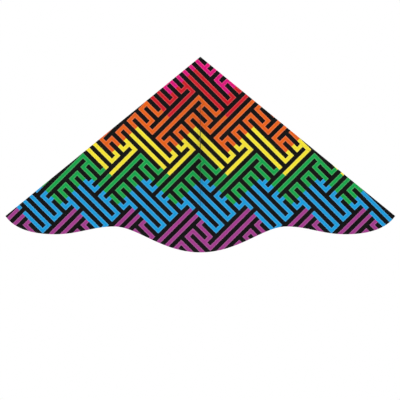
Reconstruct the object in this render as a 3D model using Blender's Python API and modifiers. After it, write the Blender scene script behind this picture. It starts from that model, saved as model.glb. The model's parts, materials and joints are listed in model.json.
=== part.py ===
"""Delta kite with a 1.4 m span: sail in two wings and a centre band, four rods, keel with a tow eyelet.

Metres, +Z up. The kite stands upright, nose up, and shows its face to -Y, as its flyer sees it.
The origin is the centre of the keel's tow eyelet. Left and right are the viewer's.
"""
import math

import bmesh
import bpy
import numpy as np
from mathutils import Euler, Matrix, Vector
from mathutils.geometry import interpolate_bezier

# Sail outline: x out from the centre line, drops down from the nose.
SPAN = 1.400
HEIGHT = 0.700  # nose to tail on the centre line
TIP_RISE = 0.130  # wing tips above the tail
CREST_OUT = 0.310  # top of the scallop, out from the centre line
CREST_RISE = 0.0925  # and above the tail
LOBE_IN = 0.179  # lowest point of the wing's lobe, in from the tip
LOBE_RISE = 0.0645
TAIL_HANDLE = 0.138  # how long the trailing edge keeps each tangent
CREST_HANDLE_IN = 0.084
CREST_HANDLE_OUT = 0.074
LOBE_HANDLE_IN = 0.081
LOBE_HANDLE_OUT = 0.118
TIP_HANDLE = (0.018, 0.026)

# Set of the sail in the wind.
DIHEDRAL = math.radians(2.5)
BILLOW = 0.012  # deepest belly of a wing, behind its flat plane
BAND_HALF = 0.010  # centre line to each wing's fold line

# Fabric.
SAIL_THICKNESS = 0.0003
TAPE_THICKNESS = 0.0003  # sleeves and hems
POCKET_THICKNESS = 0.0007  # webbing at the rod ends
GAP = 0.0003  # between pieces that touch
EDGE_INSET = 0.0004  # sleeve's fold inside the leading edge
HEM_WIDTH = 0.007
HEM_START = 0.003  # out from the fold line
HEM_TIP_CLEARANCE = 0.014

# Rods and their end caps.
ROD_RADIUS = 0.0020
BORE_CLEARANCE = 0.0003
CAP_WALL = 0.0006
CAP_LENGTH = 0.014
CAP_FLOOR = 0.002

# Sleeves and pockets, measured along a rod from the nose end.
SLEEVE_FLAP = 0.016  # leading edge to the stitched flap's end
FLAP_FOOT = 0.0115  # where the flap meets the sail
SPINE_FLANGE = 0.0092  # half width of the spine sleeve
SPINE_FOOT = 0.0072
LEADING_START = 0.050  # nose to the leading sleeves' top
TIP_CLEARANCE = 0.0075  # wing tip to the end of its pocket
POCKET_LENGTH = 0.0365
POCKET_OVER_CAP = 0.0045  # pocket past the end of the cap it holds, where it is pressed shut
SPINE_INSET = 0.0095  # nose and tail to the spine's pockets

# Spreader.
SPREADER_DROP = 0.300  # below the nose
WINDOW_LENGTH = 0.044  # opening in a leading sleeve
CLIP_LENGTH = 0.016
CLIP_WALL = 0.0014
CLIP_CLEARANCE = 0.0006
SOCKET_LENGTH = 0.030
SOCKET_WALL = 0.0015
SOCKET_START = 0.009  # leading rod's axis to the spreader rod's end
SPREADER_STANDOFF = 0.0042  # spreader rod's axis behind the leading rods' axes
PATCH_WIDTH = 0.014
PATCH_LENGTH = 0.052

# Keel and tow eyelet.
KEEL_DEPTH = 0.150  # sail to the tow eyelet
TOW_DROP = 0.300  # nose to the tow eyelet, vertically
KEEL_TOP_DROP = 0.150
KEEL_LENGTH = 0.390
KEEL_CORNER = 0.016  # round front corner, about the eyelet
KEEL_HEM = 0.004
KEEL_PATCH_REACH = 0.038
KEEL_AXIS_STANDOFF = 0.0010  # keel's seam, in front of the sail
EYELET_BORE = 0.0040
EYELET_WALL = 0.0008
EYELET_FLANGE = 0.0070
FLANGE_THICKNESS = 0.0007

# Worked out from the sizes above.
HALF_SPAN = SPAN / 2
TIP_DROP = HEIGHT - TIP_RISE
EDGE_LENGTH = math.hypot(HALF_SPAN, TIP_DROP)
EDGE_WAY = Vector((HALF_SPAN, -TIP_DROP)) / EDGE_LENGTH  # (out, up) along the leading edge
EDGE_IN = Vector((-TIP_DROP, -HALF_SPAN)) / EDGE_LENGTH  # square to it, into the sail
NOSE_Z = TOW_DROP
SAIL_Y = KEEL_DEPTH
CAP_RADIUS = ROD_RADIUS + BORE_CLEARANCE + CAP_WALL
ROD_STANDOFF = SAIL_THICKNESS / 2 + GAP + CAP_RADIUS  # rod's axis behind the sail's middle
LOOP_RADIUS = CAP_RADIUS + GAP + POCKET_THICKNESS / 2  # to the middle of the fabric
ROD_INSET = EDGE_INSET + POCKET_THICKNESS / 2 + LOOP_RADIUS  # rod's axis inside the leading edge
POCKET_END = EDGE_LENGTH - TIP_CLEARANCE
POCKET_START = POCKET_END - POCKET_LENGTH
SPREADER_ALONG = SPREADER_DROP / -EDGE_WAY.y  # window's middle, along the leading edge

ROUND = 16  # sides of a rod
SAIL_COLUMNS = 30
SAIL_ROWS = 8
HEM_COLUMNS = 36
EDGE_SAMPLES = 80
ARC_STEPS = 8

for item in list(bpy.data.objects):
    bpy.data.objects.remove(item, do_unlink=True)


def new_collection(name):
    collection = bpy.data.collections.new(name)
    bpy.context.scene.collection.children.link(collection)
    return collection


parts = new_collection("delta_kite")
helpers = new_collection("helpers")


def principled(name, colour, roughness, metallic=0.0):
    material = bpy.data.materials.new(name)
    material.use_nodes = True
    shader = material.node_tree.nodes["Principled BSDF"]
    shader.inputs["Base Color"].default_value = (*colour, 1)
    shader.inputs["Roughness"].default_value = roughness
    shader.inputs["Metallic"].default_value = metallic
    return material


SAIL = principled("printed_ripstop", (0.10, 0.30, 0.12), 0.55)
TAPE = principled("black_tape", (0.012, 0.012, 0.013), 0.7)
ROD = principled("glass_fibre", (0.015, 0.015, 0.016), 0.35)
VINYL = principled("black_vinyl", (0.02, 0.02, 0.021), 0.5)
BRASS = principled("brass", (0.80, 0.58, 0.28), 0.3, 1.0)


def add_object(name, data, material=None, parent=None, matrix=None):
    item = bpy.data.objects.new(name, data)
    parts.objects.link(item)
    if material:
        data.materials.append(material)
    item.parent = parent
    if matrix:
        item.matrix_local = matrix
    return item


def pivot(name, place, turn=0.0):
    empty = bpy.data.objects.new(name, None)
    helpers.objects.link(empty)
    empty.location = place
    empty.rotation_euler = (0, 0, turn)
    return empty


def cutter(item):
    """Hides a helper solid from the render and takes it out of the parts."""
    parts.objects.unlink(item)
    helpers.objects.link(item)
    item.hide_render = True
    item.display_type = "WIRE"
    return item


def boolean(item, other, operation="DIFFERENCE"):
    modifier = item.modifiers.new(operation.lower(), "BOOLEAN")
    modifier.operation = operation
    modifier.object = cutter(other)


def grid_mesh(name, columns, rows, place):
    """A grid whose point at (column, row) goes where place says."""
    bm = bmesh.new()
    bmesh.ops.create_grid(bm, x_segments=columns, y_segments=rows, size=0.5)
    for vert in bm.verts:
        vert.co = place(round((vert.co.x + 0.5) * columns), round((vert.co.y + 0.5) * rows))
    bmesh.ops.remove_doubles(bm, verts=bm.verts, dist=1e-6)
    bmesh.ops.dissolve_degenerate(bm, edges=bm.edges, dist=1e-6)
    mesh = bpy.data.meshes.new(name)
    bm.to_mesh(mesh)
    bm.free()
    return mesh


def fabric(name, columns, rows, place, thickness, material, parent=None):
    """A sheet of even thickness through the points that place gives."""
    item = add_object(name, grid_mesh(name, columns, rows, place), material, parent)
    shell = item.modifiers.new("thickness", "SOLIDIFY")
    shell.thickness = thickness
    shell.offset = 0
    shell.use_even_offset = True
    return item


def cylinder_mesh(name, radius, start, end, sides=ROUND):
    bm = bmesh.new()
    way = end - start
    turn = way.to_track_quat("Z", "Y").to_matrix().to_4x4()
    bmesh.ops.create_cone(
        bm, cap_ends=True, segments=sides, radius1=radius, radius2=radius, depth=way.length,
        matrix=Matrix.Translation((start + end) / 2) @ turn,
    )
    mesh = bpy.data.meshes.new(name)
    bm.to_mesh(mesh)
    bm.free()
    mesh.shade_smooth()
    mesh.set_sharp_from_angle(angle=math.radians(40))
    return mesh


def rod(name, start, end, parent=None):
    return add_object(name, cylinder_mesh(name, ROD_RADIUS, start, end), ROD, parent)


def turned(name, profile, place, way, material, parent=None, closed=False):
    """A profile of (radius, height) points, top outer corner first, turned about way."""
    points = [Vector((radius, 0, height)) for radius, height in profile]
    mesh = bpy.data.meshes.new(name)
    bm = bmesh.new()
    verts = [bm.verts.new(point) for point in points]
    for first, second in zip(verts, verts[1:] + verts[:1] if closed else verts[1:]):
        bm.edges.new((first, second))
    bm.to_mesh(mesh)
    bm.free()
    matrix = Matrix.Translation(place) @ way.to_track_quat("Z", "Y").to_matrix().to_4x4()
    item = add_object(name, mesh, material, parent, matrix)
    screw = item.modifiers.new("turn", "SCREW")
    screw.steps = screw.render_steps = ROUND
    screw.use_merge_vertices = True
    screw.merge_threshold = 1e-5
    screw.use_smooth_shade = False
    return item


def end_cap(name, tip, way, parent=None):
    """A vinyl cup over a rod's end: tip is the middle of its closed end, way points out of the rod."""
    bore = ROD_RADIUS + BORE_CLEARANCE
    profile = [
        (0, 0), (CAP_RADIUS - CAP_WALL / 2, 0), (CAP_RADIUS, -CAP_WALL / 2),
        (CAP_RADIUS, -CAP_LENGTH), (bore, -CAP_LENGTH), (bore, -CAP_FLOOR), (0, -CAP_FLOOR),
    ]
    return turned(name, profile, tip, way, VINYL, parent)


# --- Sail outline ---

def trailing_edge():
    """The trailing edge from the centre line to the wing tip, as arrays of x and drop."""
    tail = Vector((0, HEIGHT))
    crest = Vector((CREST_OUT, HEIGHT - CREST_RISE))
    lobe = Vector((HALF_SPAN - LOBE_IN, HEIGHT - LOBE_RISE))
    tip = Vector((HALF_SPAN, TIP_DROP))
    out = Vector((1, 0))
    stretches = [
        (tail, tail + TAIL_HANDLE * out, crest - CREST_HANDLE_IN * out, crest),
        (crest, crest + CREST_HANDLE_OUT * out, lobe - LOBE_HANDLE_IN * out, lobe),
        (lobe, lobe + LOBE_HANDLE_OUT * out, tip + Vector((-TIP_HANDLE[0], TIP_HANDLE[1])), tip),
    ]
    points = [point for stretch in stretches for point in interpolate_bezier(*stretch, EDGE_SAMPLES)]
    return np.array([point.x for point in points]), np.array([point.y for point in points])


TRAILING_X, TRAILING_DROP = trailing_edge()


def trailing_drop(x):
    return float(np.interp(abs(x), TRAILING_X, TRAILING_DROP))


def leading_drop(x):
    return abs(x) * TIP_DROP / HALF_SPAN


def belly(x, drop):
    """How far the sail stands behind its wing's plane: nothing along the rods and above the spreader."""
    start = BAND_HALF + HEM_START
    end = drop * HALF_SPAN / TIP_DROP - SLEEVE_FLAP / -EDGE_IN.x
    if not start < x < end or drop < SPREADER_DROP:
        return 0.0
    across = (x - start) / (end - start)
    below = (drop - SPREADER_DROP) / (HEIGHT - SPREADER_DROP)
    return BILLOW * math.sin(math.pi * across) ** 2 * below**2


# --- Centre: the root body ---

def band_point(column, row):
    x = (BAND_HALF - GAP) * (column / 2 - 1)
    low, high = -trailing_drop(x), -leading_drop(x)
    return Vector((x, SAIL_Y, NOSE_Z + low + (high - low) * row / SAIL_ROWS))


def tangent_angle(foot, rise):
    """Where a straight run from (foot, -rise) touches the loop, as an angle about its centre."""
    return math.acos(LOOP_RADIUS / math.hypot(foot, rise)) - math.atan2(rise, foot)


def arc(start, end, steps=ARC_STEPS):
    angles = [start + (end - start) * step / steps for step in range(steps + 1)]
    return [Vector((LOOP_RADIUS * math.cos(a), LOOP_RADIUS * math.sin(a))) for a in angles]


def spine_profile(thickness):
    """Hat section of a sleeve sewn down on both sides of the spine, as (x, y behind the sail)."""
    flat = SAIL_THICKNESS / 2 + GAP + thickness / 2
    lean = tangent_angle(SPINE_FOOT, ROD_STANDOFF - flat)
    loop = [point + Vector((0, ROD_STANDOFF)) for point in arc(lean, math.pi - lean)]
    right = [Vector((SPINE_FLANGE, flat)), Vector((SPINE_FOOT, flat))]
    left = [Vector((-point.x, point.y)) for point in reversed(right)]
    return right + loop + left


def spine_sleeve(name, top, bottom, thickness):
    profile = spine_profile(thickness)

    def place(column, row):
        across = profile[column]
        return Vector((across.x, SAIL_Y + across.y, NOSE_Z - (bottom if row == 0 else top)))

    fabric(name, len(profile) - 1, 1, place, thickness, TAPE)


fabric("spine_band", 4, SAIL_ROWS, band_point, SAIL_THICKNESS, SAIL)
spine_top = SPINE_INSET + POCKET_OVER_CAP
spine_bottom = HEIGHT - SPINE_INSET - POCKET_OVER_CAP
nose_end = SPINE_INSET + POCKET_LENGTH
tail_start = HEIGHT - SPINE_INSET - POCKET_LENGTH
spine_sleeve("nose_pocket", SPINE_INSET, nose_end, POCKET_THICKNESS)
spine_sleeve("spine_sleeve", nose_end + GAP, tail_start - GAP, TAPE_THICKNESS)
spine_sleeve("tail_pocket", tail_start, HEIGHT - SPINE_INSET, POCKET_THICKNESS)
spine_y = SAIL_Y + ROD_STANDOFF
rod_end = CAP_FLOOR + GAP
rod(
    "spine_rod",
    Vector((0, spine_y, NOSE_Z - spine_bottom + rod_end)),
    Vector((0, spine_y, NOSE_Z - spine_top - rod_end)),
)
end_cap("spine_cap_nose", Vector((0, spine_y, NOSE_Z - spine_top)), Vector((0, 0, 1)))
end_cap("spine_cap_tail", Vector((0, spine_y, NOSE_Z - spine_bottom)), Vector((0, 0, -1)))


# --- Wings ---

def edge_place(side, along, inward, behind):
    """A point by its place along and in from the leading edge, in the wing's own frame."""
    flat = EDGE_WAY * along + EDGE_IN * inward
    return Vector((side * (flat.x - BAND_HALF), behind, NOSE_Z + flat.y))


def sail_place(side, x, drop, behind=0.0):
    return Vector((side * (x - BAND_HALF), belly(x, drop) + behind, NOSE_Z - drop))


def sail(side, label, wing):
    start = BAND_HALF + GAP

    def place(column, row):
        x = start + (HALF_SPAN - start) * column / SAIL_COLUMNS
        low, high = trailing_drop(x), leading_drop(x)
        return sail_place(side, x, low + (high - low) * row / SAIL_ROWS)

    fabric("sail_" + label, SAIL_COLUMNS, SAIL_ROWS, place, SAIL_THICKNESS, SAIL, wing)


def trailing_hem(side, label, wing):
    start, end = BAND_HALF + HEM_START, HALF_SPAN - HEM_TIP_CLEARANCE
    behind = SAIL_THICKNESS / 2 + GAP + TAPE_THICKNESS / 2

    def place(column, row):
        x = start + (end - start) * column / HEM_COLUMNS
        step = 0.001
        slope = Vector((2 * step, trailing_drop(x + step) - trailing_drop(x - step))).normalized()
        inset = EDGE_INSET + HEM_WIDTH * row
        return sail_place(side, x + slope.y * inset, trailing_drop(x) - slope.x * inset, behind)

    fabric("trailing_hem_" + label, HEM_COLUMNS, 1, place, TAPE_THICKNESS, TAPE, wing)


def edge_profile(thickness):
    """Section of a leading edge sleeve: fold, loop round the rod, flap, as (inward, behind)."""
    flat = SAIL_THICKNESS / 2 + GAP + thickness / 2
    lean = tangent_angle(FLAP_FOOT - ROD_INSET, ROD_STANDOFF - flat)
    loop = [point + Vector((ROD_INSET, ROD_STANDOFF)) for point in arc(math.pi, lean)]
    fold = Vector((ROD_INSET - LOOP_RADIUS, SAIL_THICKNESS / 2 + GAP))
    return [fold, *loop, Vector((FLAP_FOOT, flat)), Vector((SLEEVE_FLAP, flat))]


def edge_sleeve(name, side, start, end, thickness, wing):
    profile = edge_profile(thickness)

    def place(column, row):
        across = profile[column]
        return edge_place(side, end if row else start, across.x, across.y)

    return fabric(name, len(profile) - 1, 1, place, thickness, TAPE, wing)


def box_along_edge(name, side, along, inward, behind, wing):
    """A box between pairs of values along, in from and behind the leading edge."""
    bm = bmesh.new()
    bmesh.ops.create_cube(bm, size=1)
    for vert in bm.verts:
        share = vert.co + Vector((0.5, 0.5, 0.5))
        vert.co = edge_place(side, *[
            low + (high - low) * part
            for (low, high), part in zip((along, inward, behind), share)
        ])
    bmesh.ops.recalc_face_normals(bm, faces=bm.faces)
    mesh = bpy.data.meshes.new(name)
    bm.to_mesh(mesh)
    bm.free()
    return add_object(name, mesh, None, wing)


def spreader_patch(side, label, wing):
    """Reinforcing patch on the back of the sail, just inside the sleeve's window."""
    behind = SAIL_THICKNESS / 2 + GAP + TAPE_THICKNESS / 2
    start = SPREADER_ALONG - PATCH_LENGTH / 2

    def place(column, row):
        inward = SLEEVE_FLAP + GAP + PATCH_WIDTH * row
        return edge_place(side, start + PATCH_LENGTH * column, inward, behind)

    fabric("spreader_patch_" + label, 1, 1, place, TAPE_THICKNESS, TAPE, wing)


def wing(side, label):
    frame = pivot("wing_axis_" + label, (side * BAND_HALF, SAIL_Y, 0), side * DIHEDRAL)
    sail(side, label, frame)
    trailing_hem(side, label, frame)
    sleeve = edge_sleeve(
        "leading_sleeve_" + label, side, LEADING_START, POCKET_START - GAP, TAPE_THICKNESS, frame
    )
    window = box_along_edge(
        "window_" + label, side,
        (SPREADER_ALONG - WINDOW_LENGTH / 2, SPREADER_ALONG + WINDOW_LENGTH / 2),
        (-LOOP_RADIUS, FLAP_FOOT + CAP_WALL), (-LOOP_RADIUS, 3 * LOOP_RADIUS), frame,
    )
    boolean(sleeve, window)
    edge_sleeve("wingtip_pocket_" + label, side, POCKET_START, POCKET_END, POCKET_THICKNESS, frame)
    top = LEADING_START + POCKET_OVER_CAP
    bottom = POCKET_END - POCKET_OVER_CAP
    way = Vector((side * EDGE_WAY.x, 0, EDGE_WAY.y))
    high = edge_place(side, top, ROD_INSET, ROD_STANDOFF)
    low = edge_place(side, bottom, ROD_INSET, ROD_STANDOFF)
    rod("leading_rod_" + label, high + way * rod_end, low - way * rod_end, frame)
    end_cap("leading_cap_" + label, high, -way, frame)
    end_cap("wingtip_cap_" + label, low, way, frame)
    spreader_patch(side, label, frame)
    return frame


wing_frames = {label: wing(side, label) for side, label in ((-1, "left"), (1, "right"))}


# --- Spreader ---

SPREADER_BEHIND = ROD_STANDOFF + SPREADER_STANDOFF


def wing_to_world(side, point):
    return Matrix.Translation((side * BAND_HALF, SAIL_Y, 0)) @ Matrix.Rotation(side * DIHEDRAL, 4, "Z") @ point


def clip_centre(side):
    """Where the spreader rod's axis passes the leading rod, in the wing's own frame."""
    return edge_place(side, SPREADER_ALONG, ROD_INSET, SPREADER_BEHIND)


def clip_rod_end(side):
    centre = wing_to_world(side, clip_centre(side))
    return centre - Vector((side * SOCKET_START, 0, 0))


spreader_frame = pivot("spreader_axis", (0, clip_rod_end(1).y, clip_rod_end(1).z))


def in_spreader(point):
    return point - spreader_frame.location


def spreader_clip(side, label):
    """A moulded channel pushed on the leading rod from behind, with a socket for the spreader rod."""
    frame = pivot("clip_frame_" + label, in_spreader(wing_to_world(side, Vector((0, 0, 0)))), side * DIHEDRAL)
    frame.parent = spreader_frame
    half = ROD_RADIUS + CLIP_CLEARANCE
    along = (SPREADER_ALONG - CLIP_LENGTH / 2, SPREADER_ALONG + CLIP_LENGTH / 2)
    back = SPREADER_BEHIND + ROD_RADIUS
    body = box_along_edge(
        "spreader_clip_" + label, side, along,
        (ROD_INSET - half - CLIP_WALL, ROD_INSET + half + CLIP_WALL),
        (SAIL_THICKNESS / 2 + 2 * GAP, back), frame,
    )
    body.data.materials.append(VINYL)
    bevel = body.modifiers.new("round", "BEVEL")
    bevel.width = CLIP_WALL / 4
    bevel.segments = 2
    centre = in_spreader(wing_to_world(side, clip_centre(side)))
    inward = Vector((-side, 0, 0))
    socket_radius = ROD_RADIUS + BORE_CLEARANCE + SOCKET_WALL
    socket = add_object(
        "socket_" + label,
        cylinder_mesh("socket", socket_radius, centre, centre + inward * SOCKET_LENGTH, 24),
        None, spreader_frame,
    )
    boolean(body, socket, "UNION")
    slot = box_along_edge(
        "slot_" + label, side, (along[0] - CLIP_LENGTH, along[1] + CLIP_LENGTH),
        (ROD_INSET - half, ROD_INSET + half),
        (-ROD_STANDOFF, ROD_STANDOFF + ROD_RADIUS + CLIP_CLEARANCE), frame,
    )
    boolean(body, slot)
    bore = add_object(
        "bore_" + label,
        cylinder_mesh(
            "bore", ROD_RADIUS + BORE_CLEARANCE,
            centre + inward * (SOCKET_START - GAP), centre + inward * 2 * SOCKET_LENGTH,
        ),
        None, spreader_frame,
    )
    boolean(body, bore)


rod(
    "spreader_rod",
    in_spreader(clip_rod_end(-1)),
    in_spreader(clip_rod_end(1)),
    spreader_frame,
)
for side, label in ((-1, "left"), (1, "right")):
    spreader_clip(side, label)


# --- Keel, in the plane x = 0; its outline is (y, z) about the tow eyelet ---

keel_frame = pivot("keel_axis", (0, SAIL_Y - SAIL_THICKNESS / 2 - KEEL_AXIS_STANDOFF, 0))
KEEL_TOP = Vector((keel_frame.location.y, NOSE_Z - KEEL_TOP_DROP))
KEEL_BOTTOM = KEEL_TOP - Vector((0, KEEL_LENGTH))


def touching_angle(point, radius):
    """Angle at the eyelet between the way to point and the tangent from it to a circle there."""
    return math.acos(radius / point.length)


def keel_corner(radius, steps=12):
    """The front corner's arc, from the upper edge's tangent to the lower edge's."""
    start = math.atan2(KEEL_TOP.y, KEEL_TOP.x) + touching_angle(KEEL_TOP, KEEL_CORNER)
    end = 2 * math.pi + math.atan2(KEEL_BOTTOM.y, KEEL_BOTTOM.x) - touching_angle(KEEL_BOTTOM, KEEL_CORNER)
    angles = [start + (end - start) * step / steps for step in range(steps + 1)]
    return [radius * Vector((math.cos(a), math.sin(a))) for a in angles]


def circle(radius, steps=24):
    return [
        radius * Vector((math.cos(math.tau * step / steps), math.sin(math.tau * step / steps)))
        for step in range(steps)
    ]


def flat_piece(name, outlines, thickness, across, material):
    """A flat outline with its holes, standing in the keel's plane at x = across."""
    curve = bpy.data.curves.new(name, "CURVE")
    curve.dimensions = "2D"
    curve.fill_mode = "BOTH"
    curve.extrude = thickness / 2
    for outline in outlines:
        spline = curve.splines.new("POLY")
        spline.points.add(len(outline) - 1)
        for point, place in zip(spline.points, outline):
            point.co = (place.x, place.y, 0, 1)
        spline.use_cyclic_u = True
    upright = Euler((math.pi / 2, 0, math.pi / 2)).to_matrix().to_4x4()
    matrix = Matrix.Translation((across, -keel_frame.location.y, 0)) @ upright
    return add_object(name, curve, material, keel_frame, matrix)


eyelet_hole = circle(EYELET_BORE + EYELET_WALL + GAP)
flat_piece("keel_panel", [[KEEL_TOP, *keel_corner(KEEL_CORNER), KEEL_BOTTOM], eyelet_hole],
           SAIL_THICKNESS, 0, TAPE)


def keel_hem():
    """Tape folded over the keel's free edge, as a U that follows it from top to bottom."""
    corner = keel_corner(KEEL_CORNER)
    upper, lower = (KEEL_TOP - corner[0]).normalized(), (KEEL_BOTTOM - corner[-1]).normalized()
    ends = [KEEL_TOP - upper * 3 * KEEL_HEM, KEEL_BOTTOM - lower * 3 * KEEL_HEM]
    path = [ends[0], *corner, ends[1]]
    inward = [-corner[0].normalized(), *[-p.normalized() for p in corner], -corner[-1].normalized()]
    half = SAIL_THICKNESS / 2 + GAP + TAPE_THICKNESS / 2
    profile = [(KEEL_HEM, half), (-half, half), (-half, -half), (KEEL_HEM, -half)]

    def place(column, row):
        inset, across = profile[row]
        point = path[column] + inward[column] * inset
        return Vector((across, point.x - keel_frame.location.y, point.y))

    fabric("keel_hem", len(path) - 1, len(profile) - 1, place, TAPE_THICKNESS, TAPE, keel_frame)


def keel_patch(side, label):
    inner = KEEL_CORNER - KEEL_HEM - TAPE_THICKNESS
    corner = keel_corner(inner)
    upper = (KEEL_TOP - keel_corner(KEEL_CORNER)[0]).normalized()
    lower = (KEEL_BOTTOM - keel_corner(KEEL_CORNER)[-1]).normalized()
    outline = [corner[0] + upper * KEEL_PATCH_REACH, *corner, corner[-1] + lower * KEEL_PATCH_REACH]
    across = side * (SAIL_THICKNESS / 2 + GAP + TAPE_THICKNESS / 2)
    flat_piece("keel_patch_" + label, [outline, eyelet_hole], TAPE_THICKNESS, across, TAPE)


keel_hem()
keel_patch(-1, "left")
keel_patch(1, "right")

# Layers at the eyelet, out from the keel's middle.
patch_face = SAIL_THICKNESS / 2 + GAP + TAPE_THICKNESS
flange_in = patch_face + GAP
flange_out = flange_in + FLANGE_THICKNESS
lip_in = flange_out + GAP
lip_out = lip_in + FLANGE_THICKNESS
barrel = EYELET_BORE + EYELET_WALL
lip_radius = barrel + 2 * EYELET_WALL
eyelet_profile = [
    (EYELET_BORE, flange_out), (EYELET_FLANGE, flange_out), (EYELET_FLANGE, flange_in),
    (barrel, flange_in), (barrel, -lip_in), (lip_radius, -lip_in), (lip_radius, -lip_out),
    (EYELET_BORE, -lip_out),
]
washer_bore = barrel + GAP
washer_profile = [
    (washer_bore, -flange_in), (EYELET_FLANGE, -flange_in), (EYELET_FLANGE, -flange_out),
    (washer_bore, -flange_out),
]
eyelet_place = Vector((0, -keel_frame.location.y, 0))
for name, profile in (("tow_eyelet", eyelet_profile), ("eyelet_washer", washer_profile)):
    item = turned(name, profile, eyelet_place, Vector((1, 0, 0)), BRASS, keel_frame, closed=True)
    item.modifiers["turn"].steps = item.modifiers["turn"].render_steps = 24
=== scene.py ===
import json
import math
from functools import partial

import bpy
import numpy as np
from mathutils import Matrix, Vector, noise
from mathutils.geometry import interpolate_bezier


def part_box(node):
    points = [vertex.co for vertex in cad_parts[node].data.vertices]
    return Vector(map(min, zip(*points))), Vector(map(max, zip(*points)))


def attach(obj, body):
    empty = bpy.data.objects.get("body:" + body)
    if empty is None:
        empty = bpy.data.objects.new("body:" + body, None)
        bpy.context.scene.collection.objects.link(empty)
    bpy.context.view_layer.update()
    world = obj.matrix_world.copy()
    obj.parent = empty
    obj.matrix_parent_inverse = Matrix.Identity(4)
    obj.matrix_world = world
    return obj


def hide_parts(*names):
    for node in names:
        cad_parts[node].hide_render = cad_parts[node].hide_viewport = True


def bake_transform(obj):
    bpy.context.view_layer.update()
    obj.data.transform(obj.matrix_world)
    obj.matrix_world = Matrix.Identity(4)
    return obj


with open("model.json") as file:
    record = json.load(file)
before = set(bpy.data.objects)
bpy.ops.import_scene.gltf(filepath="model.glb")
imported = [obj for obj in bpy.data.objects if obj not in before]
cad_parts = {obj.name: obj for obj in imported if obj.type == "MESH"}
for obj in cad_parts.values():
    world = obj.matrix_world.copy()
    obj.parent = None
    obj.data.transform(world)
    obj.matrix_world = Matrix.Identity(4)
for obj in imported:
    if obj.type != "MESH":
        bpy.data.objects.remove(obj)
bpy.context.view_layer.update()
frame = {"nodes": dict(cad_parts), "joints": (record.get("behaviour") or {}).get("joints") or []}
bpy.context.scene.view_settings.view_transform = "Standard"

# Metres throughout. The kite stands nose up with its face to -Y; side is -1 for the viewer's left wing.
# "x" is measured out from the centre line on the flat sail and "drop" down from the nose.
MM = 0.001


# --- Places read from the frame ---

def points_of(node):
    return np.array([vert.co for vert in frame["nodes"][node].data.vertices])


joints = {joint["name"]: joint for joint in frame["joints"]}
BAND_HALF, SAIL_Y, _ = joints["right_wing_fold"]["pos_m"]
KEEL_ROOT_Y = joints["keel_swing"]["pos_m"][1]
DIHEDRAL = math.radians(2.5)
NOSE_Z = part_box("spine_band")[1].z
HEIGHT = NOSE_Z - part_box("spine_band")[0].z
TIP = Vector(max(points_of("sail_right"), key=lambda point: point[0]))
HALF_SPAN = BAND_HALF + (TIP.x - BAND_HALF) / math.cos(DIHEDRAL)
TIP_DROP = NOSE_Z - TIP.z
EDGE_LENGTH = math.hypot(HALF_SPAN, TIP_DROP)
EDGE_WAY = Vector((HALF_SPAN, -TIP_DROP)) / EDGE_LENGTH
EDGE_IN = Vector((-TIP_DROP, -HALF_SPAN)) / EDGE_LENGTH
WING = {
    side: Matrix.Translation((side * BAND_HALF, SAIL_Y, 0)) @ Matrix.Rotation(side * DIHEDRAL, 4, "Z")
    for side in (-1, 1)
}
LABEL = {-1: "left", 1: "right"}

# --- Sizes of the real cloth, thread and fittings ---
CLOTH = 0.22 * MM
TAPE = 0.30 * MM
BINDING = 0.18 * MM  # thin tape folded over the keel's edge
WEBBING = 0.75 * MM
HEM_WIDTH = 7 * MM
HEM_SEAM = 5.4 * MM
# How far behind the sail each layer sewn flat to it lies: the turned hem and window patches, the sleeves,
# the tip pockets, and the pockets at nose and tail.
HEM_LAYER = 0.42 * MM
SLEEVE_LAYER = 0.45 * MM
TIP_LAYER = 0.75 * MM
POCKET_LAYER = 0.8 * MM
FLAP_FOOT = 11.5 * MM  # a sleeve's flap comes down to the sail this far in from the leading edge
FLAP_SEAM = 14.0 * MM
FLAP_END = 16 * MM
WINDOW = 44 * MM
PRESS_START = 4.4 * MM  # a rod pocket is pressed shut between these distances from its end
PRESS_FLAT = 1.6 * MM
END_SEAM = 0.8 * MM  # the seam across a shut end, from that end
CAP_WALL = 0.65 * MM
CAP_FLOOR = 2 * MM
SPINE_FLANGE = 9.2 * MM
SPINE_SEAM = 8.3 * MM
THREAD_RADIUS = 0.17 * MM
THREAD_LIFT = THREAD_RADIUS / 3  # of a stitch's middle from the cloth that it lies on
STITCH = 3.0 * MM  # length of a stitch
STITCH_PITCH = 3.5 * MM
KEEL_PITCH = 2.8 * MM
TACK = 4.8 * MM  # length of a bar tack with its margins
TACK_SPACING = 0.5 * MM
BELLY = 12 * MM
FLUTTER = 1.6 * MM
FLUTTER_WAVE = 92 * MM
FLUTTER_REACH = 60 * MM
FOLD_START = 9.4 * MM  # the sail bends with its wing between these distances from the centre line
FOLD_END = 10.6 * MM


# --- Materials ---

def colour(code):
    """Linear colour and alpha from an sRGB hex code."""
    parts = [int(code[i:i + 2], 16) / 255 for i in (0, 2, 4)]
    return (*[part / 12.92 if part <= 0.04045 else ((part + 0.055) / 1.055) ** 2.4 for part in parts], 1)


NOISE_SPAN = (0.3, 0.7)  # holds most of a noise texture's values


def feed(tree, node, values):
    """Feeds a node's inputs, by name or in order: a node or socket is linked, anything else is set."""
    for key, value in (values.items() if isinstance(values, dict) else enumerate(values)):
        if isinstance(value, bpy.types.Node):
            tree.links.new(value.outputs[0], node.inputs[key])
        elif isinstance(value, bpy.types.NodeSocket):
            tree.links.new(value, node.inputs[key])
        else:
            node.inputs[key].default_value = value


def add(tree, kind, values=(), **settings):
    """Adds a node with its settings and links."""
    node = tree.nodes.new("ShaderNode" + kind)
    for name, value in settings.items():
        setattr(node, name, value)
    feed(tree, node, values)
    return node


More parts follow.
